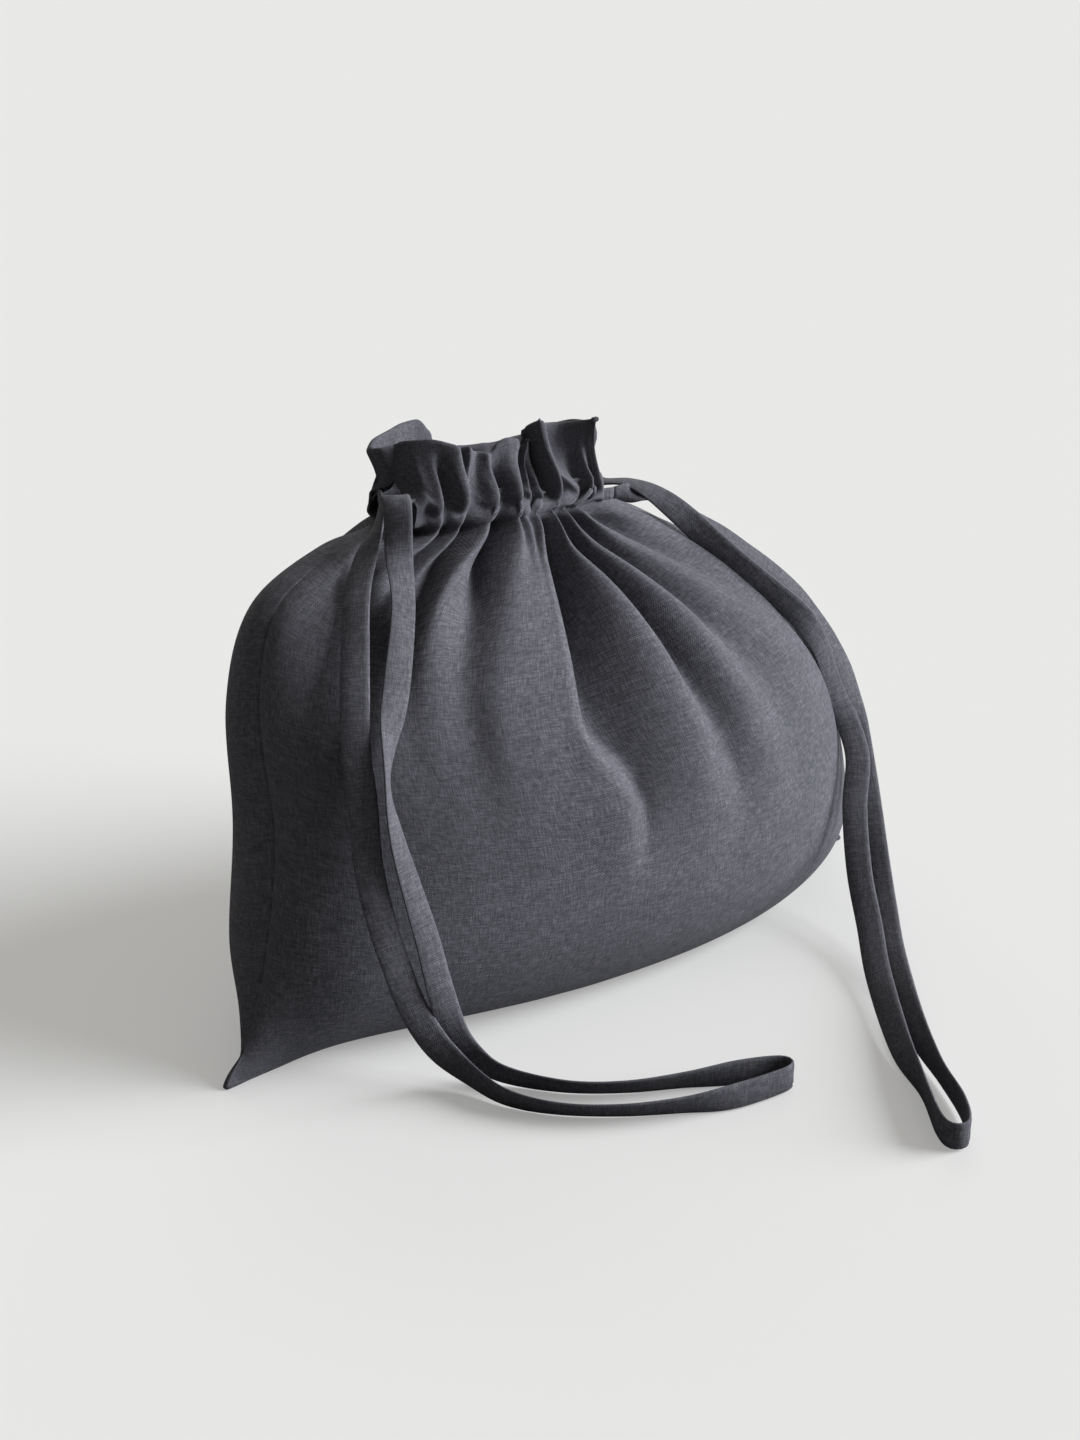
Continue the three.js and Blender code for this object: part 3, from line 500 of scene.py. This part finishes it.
# Rim of the front heading, left seam to right seam: place on the flat cut, x, depth and height. A broad flap,
# two narrow tubes, a round bulb, a small tube, a leaning tube and a hollow ear
FRONT_RIM = [(-1.00, -47.1, 0, 29.9), (-0.90, -45.2, 5, 32), (-0.80, -40.5, 11, 33.1), (-0.72, -34.9, 16, 32),
             (-0.685, -31.5, 18, 31), (-0.665, -28, 13, 29.5), (-0.635, -26.4, 17.5, 30.5),
             (-0.595, -17, 9, 26.5), (-0.53, -13.3, 12, 26), (-0.47, -10, 10, 25.5), (-0.44, -7, 10, 29.2),
             (-0.40, -2.5, 10.5, 30.6), (-0.36, 1.2, 10.5, 30.2), (-0.33, 4, 9.5, 28.6), (-0.29, 6.5, 6, 26),
             (-0.24, 7.5, 9.5, 28.5), (-0.19, 11.5, 5.5, 26.8), (-0.13, 10.5, 3, 31.2),
             (-0.05, 9.8, 8.5, 34.8), (0.02, 10, 12.3, 36.2), (0.08, 12, 13, 36.2), (0.13, 15.3, 9.5, 34.6),
             (0.19, 18.5, 2, 32.3),
             (0.26, 24, -1, 31.8), (0.36, 29.5, -0.5, 31.8), (0.48, 34, 3, 32.5), (0.65, 36.5, 7.5, 33.5),
             (0.85, 38, 11, 34.2), (1.00, 38.8, 12.5, 34)]

# Gathers of the back, place and greatest height, and the share of that height at PANEL_STATIONS
BACK_FOLDS = [(-0.86, 4), (-0.73, -7), (-0.6, 6), (-0.48, -9), (-0.36, 7), (-0.24, -8), (-0.12, 6),
              (0.01, -10), (0.14, 7), (0.26, -8), (0.38, 5), (0.5, -9), (0.62, 6), (0.74, -7), (0.86, 4)]
BACK_SWELL = (0, 0.08, 0.25, 0.5, 0.8, 0.95, 0.95, 0.8)

# Rim of the back heading, from the left ear past its drooping middle to the right ear
BACK_RIM = [(-1.00, -47.1, 0, 29.9), (-0.93, -53, 4, 28.3), (-0.86, -54, 8, 27), (-0.78, -50.5, 10.5, 30),
            (-0.68, -41, 13, 32.6), (-0.56, -33, 15, 34.4), (-0.48, -26, 16, 34.9), (-0.40, -21, 16, 31),
            (-0.33, -19, 17.5, 27.5), (-0.20, -12, 21, 24), (0.00, -1, 23, 21.5), (0.30, 14, 22.5, 21.5),
            (0.55, 27, 19, 24), (0.75, 36, 13, 28), (0.90, 40.5, 0, 32.5), (1.00, 38.8, -12.5, 34)]


def back_gathers():
    """Gathers of the back in the form of FRONT_GATHERS."""
    rows = [FRONT_GATHERS[0]]
    for place, size in BACK_FOLDS:
        heights = tuple(size * share for share in BACK_SWELL)
        across = (-LEFT_NECK if place < 0 else RIGHT_NECK) * place
        rows.append((place, (place,) * 8, heights, across, RIDGE_DEPTH if size > 0 else LEAST_DEPTH))
    return rows + [FRONT_GATHERS[-1]]


def panel_base(side, share, v):
    """Smooth form of a filled panel, without gathers."""
    across = ((share + 1) / 2)[..., None]
    seam = spline(LEFT_SEAM, v) * (1 - across) + spline(RIGHT_SEAM, v) * across
    middle = spline(FRONT_PROFILE if side < 0 else BACK_PROFILE, v)
    power = BULGE - BELLY_FULLER * eased(0, 0.3, v) - NECK_FULLER * eased(0.8, 1, v)
    if side > 0:
        power = power - BACK_FULLER * eased(0, 0.3, v) * (1 - eased(0.7, 0.9, v))
    power = power - RIGHT_FULLER * eased(0.3, 0.6, v) * (1 - eased(0.85, 1, v)) * eased(0.1, 0.8, share)
    bulge = np.maximum(1 - share ** 2, 0) ** power
    if side < 0:
        bulge = bulge * (1 + BELLY_LEAN * (1 - eased(0.1, 0.7, v)) * share)
    y = seam[..., 1] + (middle[..., 0] - seam[..., 1]) * bulge
    z = seam[..., 2] + (middle[..., 1] - seam[..., 2]) * bulge
    top = NECK[2] - (seam[..., 0] - NECK[0]) * math.tan(NECK_TILT)
    return np.stack([seam[..., 0], y, np.clip(z, 0, top)], -1)


def even_share(side, place, v):
    """Share across for a place measured evenly along the cloth, row by row."""
    fine = np.sin(np.linspace(-1, 1, 500) * math.pi / 2)
    found = np.zeros_like(place)
    for j in range(len(v)):
        line = panel_base(side, fine, np.full_like(fine, v[j]))
        run = np.concatenate([[0], np.cumsum(np.linalg.norm(np.diff(line, axis=0), axis=1))])
        found[j] = np.interp((place[j] + 1) / 2 * run[-1], run, fine)
    return found


def gather_heights(gathers, columns, heights):
    """Heights across a row that swing between ridges and valleys, each ridge fuller on its left."""
    places = np.array([g[0] for g in gathers])
    k = np.clip(np.searchsorted(places, columns, side="right") - 1, 0, len(places) - 2)
    t = (columns - places[k]) / (places[k + 1] - places[k])
    low, high = heights[k], heights[k + 1]
    from_ridge = np.where(low >= high, t, 1 - t)
    top, bottom = np.maximum(low, high), np.minimum(low, high)
    even = (1 - np.cos(math.pi * from_ridge)) / 2
    creased = from_ridge ** CREASE_POWER
    tight = np.where(low >= high, RIGHT_CREASE, LEFT_CREASE)
    return top + (bottom - top) * ((1 - tight) * even + tight * creased)


def cloth_columns(gathers, count):
    """Places on the flat cut, closer together where the neck is drawn."""
    a = np.linspace(-1, 1, 2001)
    drawn = np.interp(a, [g[0] for g in gathers], [g[3] / -LEFT_NECK for g in gathers])
    spread = EVEN_COLUMNS * a + (1 - EVEN_COLUMNS) * drawn
    return np.interp(np.linspace(spread[0], spread[-1], count), spread, a)


def smooth_through(places, values, at):
    """A smooth run through values at rising places, which never swings past them."""
    places, values = np.asarray(places, float), np.asarray(values, float)
    gap = np.diff(places)
    rise = np.diff(values) / gap
    slope = np.zeros(len(values))
    same = rise[:-1] * rise[1:] > 0
    slope[1:-1][same] = 2 * (rise[:-1] * rise[1:])[same] / (rise[:-1] + rise[1:])[same]
    k = np.clip(np.searchsorted(places, at, side="right") - 1, 0, len(places) - 2)
    t = np.clip((at - places[k]) / gap[k], 0, 1)
    return ((1 + 2 * t) * (1 - t) ** 2 * values[k] + t * t * (3 - 2 * t) * values[k + 1]
            + gap[k] * t * (1 - t) * ((1 - t) * slope[k] - t * slope[k + 1]))


def row_places():
    """Heights of the panel's rows, closer together towards the neck, and their lengths on the flat cut."""
    fine = np.linspace(0, 1, 1200)
    run = np.zeros(len(fine))
    for profile in (FRONT_PROFILE, BACK_PROFILE):
        steps = np.linalg.norm(np.diff(spline(profile, fine), axis=0), axis=1)
        run[1:] += np.cumsum(steps) / 2
    grade = np.linspace(0, 1, PANEL_ROWS)
    grade = grade + ROW_CROWDING * grade * (1 - grade)
    return np.interp(grade * run[-1], run, fine), grade * FLAT_PANEL


def panel_rows(side, gathers, columns, v):
    """The filled panel with its gathers, bottom seam to casing foot."""
    lines = np.array([smooth_through(PANEL_STATIONS, g[1], v) for g in gathers])
    place = np.array([np.interp(columns, [g[0] for g in gathers], lines[:, j]) for j in range(len(v))])
    share = even_share(side, place, v)
    up = np.repeat(v[:, None], len(columns), 1)
    base = panel_base(side, share, up)
    step = 0.004
    left, right = (panel_base(side, np.clip(share + move, -1, 1), up) for move in (-step, step))
    below, above = (panel_base(side, share, np.clip(up + move, 0, 1)) for move in (-step, step))
    normal = unit(np.cross(right - left, above - below)) * -side
    normal[..., 2] *= 1 - eased(0.75, 0.95, up)
    normal = unit(normal)
    heights = np.array([smooth_through(PANEL_STATIONS, g[2], v) for g in gathers])
    swing = np.array([gather_heights(gathers, columns, heights[:, j]) for j in range(len(v))])
    points = base + normal * swing[..., None]
    shoulder = eased(0.84, 1.0, up) * np.maximum(1 - np.abs(share) ** 6, 0)
    points[..., 1] += side * SHOULDER_OUT * shoulder
    points[..., 2] += SHOULDER * shoulder + PUFF * swing * shoulder
    from_seam = (1 - np.abs(columns)) * FLAT_WIDTH / 2
    groove = SEAM_GROOVE * np.exp(-(from_seam / GROOVE_WIDTH) ** 2) * np.sign(columns)
    points[..., 0] -= groove * eased(0.03, 0.12, up) * (1 - eased(0.9, 1.0, up))
    points[..., 2] = np.maximum(points[..., 2], 0.0)
    return points


def settle(front, back, columns, v):
    """The two panels sewn together, filled from inside and left to settle as cloth, held at the neck."""
    rows, count = front.shape[:2]
    places = {-1: np.arange(rows * count).reshape(rows, count)}
    places[1] = places[-1].copy()
    places[1][1:, 1:-1] = rows * count + np.arange((rows - 1) * (count - 2)).reshape(rows - 1, count - 2)
    points = np.concatenate([front.reshape(-1, 3), back[1:, 1:-1].reshape(-1, 3)]) * SIM_SCALE
    faces = []
    for side, place in places.items():
        for quad in grid_faces(rows, count, flip=side > 0):
            faces.append([int(place.flat[k]) for k in quad])
    mesh = bpy.data.meshes.new("settling_cloth")
    mesh.from_pydata(points.tolist(), [], faces)
    cloth = bpy.data.objects.new("settling_cloth", mesh)
    bpy.context.scene.collection.objects.link(cloth)
    up = np.repeat(v[:, None], count, 1)
    edge = np.repeat(np.abs(columns)[None], rows, 0)
    hold = np.where(up >= HELD_FROM, 1.0, HOLD + (SEAM_HOLD - HOLD) * eased(0.95, 1.0, edge))
    slack = eased(0.45, 0.75, up) * (1 - eased(0.9, 1.0, edge))
    for name, weights in (("held", hold), ("slack", slack)):
        group = cloth.vertex_groups.new(name=name)
        for place in places.values():
            for k, weight in zip(place.ravel().tolist(), weights.ravel().tolist()):
                group.add([k], weight, "REPLACE")
    settings = cloth.modifiers.new("settle", "CLOTH").settings
    settings.quality = 6
    settings.mass = 0.3
    settings.tension_stiffness = settings.compression_stiffness = 20
    settings.shear_stiffness = 6
    settings.bending_stiffness = 0.4
    settings.vertex_group_mass = "held"
    settings.pin_stiffness = 1.0
    settings.vertex_group_shrink = "slack"
    settings.shrink_min = 0.0
    settings.shrink_max = -SLACK_SHARE
    settings.effector_weights.gravity = 0.15
    settings.use_pressure = True
    settings.uniform_pressure_force = PRESSURE
    for number in range(1, SIM_FRAMES + 1):
        bpy.context.scene.frame_set(number)
    shown = cloth.evaluated_get(bpy.context.evaluated_depsgraph_get())
    found = np.zeros(len(points) * 3)
    shown.data.vertices.foreach_get("co", found)
    found = found.reshape(-1, 3) / SIM_SCALE
    bpy.context.scene.frame_set(1)
    bpy.data.objects.remove(cloth)
    moved = found - points / SIM_SCALE
    far = np.linalg.norm(moved, axis=1, keepdims=True)
    found = points / SIM_SCALE + moved * np.minimum(1, MOST_MOVED / np.maximum(far, 1e-9))
    found[:, 2] = np.maximum(found[:, 2], 0)
    return found[places[-1]], found[places[1]]


def to_neck(points):
    """Points of the bag in the level neck frame."""
    x, y, z = np.moveaxis(points - NECK, -1, 0)
    return np.stack([x * math.cos(NECK_TILT) - z * math.sin(NECK_TILT), y,
                     z * math.cos(NECK_TILT) + x * math.sin(NECK_TILT)], -1)


def seam_near(columns):
    """1 at a side seam, 0 away from it."""
    return eased(0.88, 1.0, np.abs(columns))


def rounded(points, passes):
    """Rows of points with their sharpest turns worn round, the side seams kept."""
    points = points.copy()
    for _ in range(passes):
        points[:, 1:-1] = (points[:, :-2] + 2 * points[:, 1:-1] + points[:, 2:]) / 4
    return points


def neck_rows(side, gathers, columns, foot):
    """Casing and heading: from the panel's top row in to the pinch, then out to the rim."""
    across = np.interp(columns, [g[0] for g in gathers], [g[3] for g in gathers])
    depths = np.array([g[4] for g in gathers])
    depth = gather_heights(gathers, columns, LEAST_DEPTH + RIDGE_SWELL * (depths - LEAST_DEPTH))
    tubes = gather_heights(gathers, columns, np.where(depths > LEAST_DEPTH, 1.0, -1.0))
    tubes = tubes * (1 - eased(0.85, 1.0, np.abs(columns))) * (1 - eased(0.12, 0.3, columns * -side))
    # The drawn tape leaves the pinch uneven, by up to a few millimetres
    wander = sum(size * np.sin(across * pace + start) for size, pace, start in WANDER)
    pinch = np.stack([across, side * depth, PINCH + wander * (1 - seam_near(columns))], -1)
    rim_at, *rim_rows = np.array(FRONT_RIM if side < 0 else BACK_RIM).T
    rim = np.stack([smooth_through(rim_at, row, columns) for row in rim_rows], -1)
    rim[..., 1] *= side
    low = to_neck(foot)
    rows = []
    for climb in np.linspace(0, 1, CASING_ROWS)[1:]:
        share = climb ** 2
        row = low * (1 - share) + pinch * share
        level = side * low[..., 1] * (1 - share) + LEAST_DEPTH * share
        level = np.maximum(level, LEAST_DEPTH * eased(0.0, 0.35, climb))
        row[..., 1] = side * (level + (depth - LEAST_DEPTH) * eased(0.0, 0.7, climb))
        row[..., 2] = low[..., 2] * (1 - climb) + pinch[..., 2] * climb
        rows.append(row)
    seam = seam_near(columns)
    seam_depth = np.where(columns < 0, rim[0, 1], rim[-1, 1])
    for climb in np.linspace(0, 1, RIM_ROWS)[1:]:
        row = pinch * (1 - climb) + rim * climb
        flare = 1 - (1 - climb) ** 2
        # Clear of the tape by the casing, free to lean inwards above it
        level = np.maximum(LEAST_DEPTH * (1 - flare) + side * rim[..., 1] * flare,
                           LEAST_DEPTH - LEAN_FREE * eased(0.22, 0.38, climb))
        level += (depth - LEAST_DEPTH) * (1 - eased(0.1, 0.7, climb))
        # TUBE_PEAK makes the swell a full one where it is greatest, a third of the way up
        level += tubes * TUBE_SWELL * TUBE_PEAK * climb * (1 - climb) ** 2
        sewn = seam * eased(0.24, 0.42, climb)
        row[..., 1] = side * level * (1 - sewn) + seam_depth * climb * sewn
        rows.append(row)
    return np.array(rows)


def outward_of(points, side):
    """Directions out of the bag at a grid of points of its front or back."""
    return unit(np.cross(np.gradient(points, axis=1), np.gradient(points, axis=0))) * -side


def cloth_sheet(name, side, gathers, columns, panel, panel_flat, material):
    """One cut of cloth: panel, casing and heading, folded over at the rim and turned down inside."""
    upper = PANEL_ROWS // 2
    panel = np.concatenate([panel[:upper], rounded(panel[upper:], ROUNDING)])
    outside = neck_rows(side, gathers, columns, panel[-1])
    crisp = eased(CRISP_FROM, CRISP_BY, np.arange(len(outside)))[:, None, None]
    outside = outside * crisp + rounded(outside, ROUNDING) * (1 - crisp)
    steps = np.linalg.norm(np.diff(outside, axis=0), axis=-1).max(1)
    up = np.concatenate([[FIRST_STEP], FIRST_STEP + np.cumsum(steps)])
    # Every second row, from the rim down to the pinch
    inside = (outside - HEM_GAP * outward_of(outside, side))[::-1][:-5:2]
    inside[..., 2] -= HEM_DROP
    turn = (outside[-1:] + inside[:1]) / 2
    turn[..., 2] += HEM_FOLD
    points = np.concatenate([panel, from_neck(outside), from_neck(turn), from_neck(inside)])
    top = FLAT_PANEL + up[-1] + FOLD_STEP
    down = np.concatenate([[FOLD_STEP], FOLD_STEP + np.cumsum(steps[::-1])])[::2][:len(inside)]
    lengths = np.concatenate([panel_flat, FLAT_PANEL + up, [top], top + down])
    flat = np.stack(np.broadcast_arrays(columns[None] * FLAT_WIDTH / 2, lengths[:, None]), -1)
    faces = grid_faces(len(points), len(columns), flip=side > 0)
    piece = new_piece(name, points, faces, material, flat)
    smooth = piece.modifiers.new("smooth", "SUBSURF")
    smooth.levels = smooth.render_levels = 1
    thick = piece.modifiers.new("thick", "SOLIDIFY")
    thick.thickness = CLOTH * MM
    thick.offset = -1
    return piece, lengths[-1]


def sampled(grid, rows, columns):
    """A grid of points or directions read between its rows and columns."""
    r, c = (np.minimum(np.floor(at).astype(int), count - 2) for at, count in zip((rows, columns), grid.shape))
    t, s = (rows - r)[:, None, None], (columns - c)[None, :, None]
    lower = grid[r][:, c] * (1 - s) + grid[r][:, c + 1] * s
    upper = grid[r + 1][:, c] * (1 - s) + grid[r + 1][:, c + 1] * s
    return lower * (1 - t) + upper * t


def make_allowances(back, columns, panel_flat, material):
    """The seams' raw edges, pressed against the inside of the back cloth as narrow strips."""
    outward = outward_of(back, 1)
    half = FLAT_WIDTH / 2
    width = np.linspace(ALLOWANCE_NEAR, ALLOWANCE_NEAR + ALLOWANCE, 5)
    upright, level = np.linspace(*SIDE_STRIP, 60), np.linspace(*BOTTOM_STRIP, 90)
    strips = [("left", upright, width / half - 1), ("right", upright, 1 - width[::-1] / half),
              ("bottom", width, level)]
    for name, rows, across in strips:
        at = (np.interp(rows, panel_flat, np.arange(len(panel_flat))),
              np.interp(across, columns, np.arange(len(columns))))
        points = sampled(back, *at) - ALLOWANCE_INSET * unit(sampled(outward, *at))
        flat = np.stack(np.broadcast_arrays(across[None] * half, rows[:, None]), -1)
        faces = grid_faces(len(rows), len(across), flip=True)
        piece = new_piece(name + "_allowance", points, faces, material, flat)
        thick = piece.modifiers.new("thick", "SOLIDIFY")
        thick.thickness = ALLOWANCE_CLOTH * MM
        thick.offset = 0
        apply_modifiers(piece)
        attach(piece, "bag")
        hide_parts(name + "_seam_allowance")


def make_bag(material):
    """Front and back cuts of the bag, and the allowances inside."""
    columns = cloth_columns(FRONT_GATHERS, COLUMNS)
    v, panel_flat = row_places()
    gathers = {"front": FRONT_GATHERS, "back": back_gathers()}
    front = panel_rows(-1, gathers["front"], columns, v)
    back = panel_rows(1, gathers["back"], columns, v)
    front, back = settle(front, back, columns, v)
    for name, side, panel in (("front", -1, front), ("back", 1, back)):
        piece, length = cloth_sheet(name + "_cloth", side, gathers[name], columns, panel, panel_flat,
                                    material)
        apply_modifiers(piece)
        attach(piece, "bag")
        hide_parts(name + "_panel", name + "_casing", name + "_casing_facing", name + "_heading")
    make_allowances(back, columns, panel_flat, material)


# Floor and light

# Size of the floor in metres, its colour as the bag and as the camera meets it, its glow for the camera
FLOOR_SIZE = 60.0
FLOOR_LIT = "#8c8c8b"
FLOOR_SEEN = "#a9a9a8"
FLOOR_GLOW = 0.27

# Light from all round: its colour, the way to its brightest part, its strength there, what the camera sees
SKY_COLOUR = (1, 0.96, 0.89, 1)
SKY_BRIGHT = (0.20, 0.25, 0.95)
SKY_STRENGTH = 0.44
SKY_SEEN = "#e6e7e5"

# Name, strength, colour, angle in degrees that the lamp fills, and the way its light goes
LAMPS = [("main_lamp", 7.9, (0.96, 0.98, 1.0), 44, (-0.74, 0.55, -0.39)),
         ("back_lamp", 1.3, (1.0, 0.98, 0.95), 60, (-0.57, -0.76, -0.3))]


def plain_floor():
    """A pale matt floor, paler to the camera than to the bag, so that it throws little light up."""
    material = bpy.data.materials.new("matt_white_paint")
    material.use_nodes = True
    tree = material.node_tree
    shader = tree.nodes["Principled BSDF"]
    shader.inputs["Roughness"].default_value = 0.9
    shader.inputs["Specular IOR Level"].default_value = 0.0
    seen = add_node(tree, "ShaderNodeLightPath").outputs["Is Camera Ray"]
    paint = add_node(tree, "ShaderNodeMix", {"data_type": "RGBA"}, i0=seen, i6=linear(FLOOR_LIT),
                     i7=linear(FLOOR_SEEN))
    tree.links.new(paint.outputs[2], shader.inputs["Base Color"])
    haze = add_node(tree, "ShaderNodeMath", {"operation": "MULTIPLY"}, i0=seen, i1=FLOOR_GLOW)
    shader.inputs["Emission Color"].default_value = (1, 1, 0.99, 1)
    tree.links.new(haze.outputs[0], shader.inputs["Emission Strength"])
    bpy.ops.mesh.primitive_plane_add(size=FLOOR_SIZE)
    floor = bpy.context.object
    floor.name = "floor"
    floor.data.materials.append(material)


def light_scene():
    """Soft light, brightest overhead, a broad lamp from the right front, a weak one from the right rear."""
    world = bpy.data.worlds.new("pale_surroundings")
    bpy.context.scene.world = world
    world.use_nodes = True
    tree = world.node_tree
    sky = tree.nodes["Background"]
    sky.inputs[0].default_value = SKY_COLOUR
    look = add_node(tree, "ShaderNodeTexCoord").outputs["Generated"]
    facing = add_node(tree, "ShaderNodeVectorMath", {"operation": "DOT_PRODUCT"}, i0=look, i1=SKY_BRIGHT)
    level = add_node(tree, "ShaderNodeMapRange", i0=facing.outputs["Value"], i1=-0.1, i2=1.0, i3=0.0,
                     i4=SKY_STRENGTH)
    tree.links.new(level.outputs[0], sky.inputs[1])
    plain = add_node(tree, "ShaderNodeBackground", Color=linear(SKY_SEEN), Strength=1.0)
    seen = add_node(tree, "ShaderNodeLightPath").outputs["Is Camera Ray"]
    both = add_node(tree, "ShaderNodeMixShader", i0=seen, i1=sky.outputs[0], i2=plain.outputs[0])
    tree.links.new(both.outputs[0], tree.nodes["World Output"].inputs[0])
    for name, energy, colour, angle, way in LAMPS:
        data = bpy.data.lights.new(name, "SUN")
        data.energy = energy
        data.color = colour
        data.angle = math.radians(angle)
        lamp = bpy.data.objects.new(name, data)
        bpy.context.scene.collection.objects.link(lamp)
        lamp.rotation_euler = Vector(way).to_track_quat("-Z", "Y").to_euler()


# The whole picture

place_camera()
tape_linen = woven_linen("folded_linen_tape", "#3a3a3f", "#4e4e54", "#66666d", 0.85)
bag_linen = woven_linen("plain_weave_linen", "#38383d", "#4d4d53", "#66666d", 0.88)
make_drawstrings(tape_linen)
make_bag(bag_linen)
plain_floor()
light_scene()
bpy.context.scene.view_settings.view_transform = "Standard"
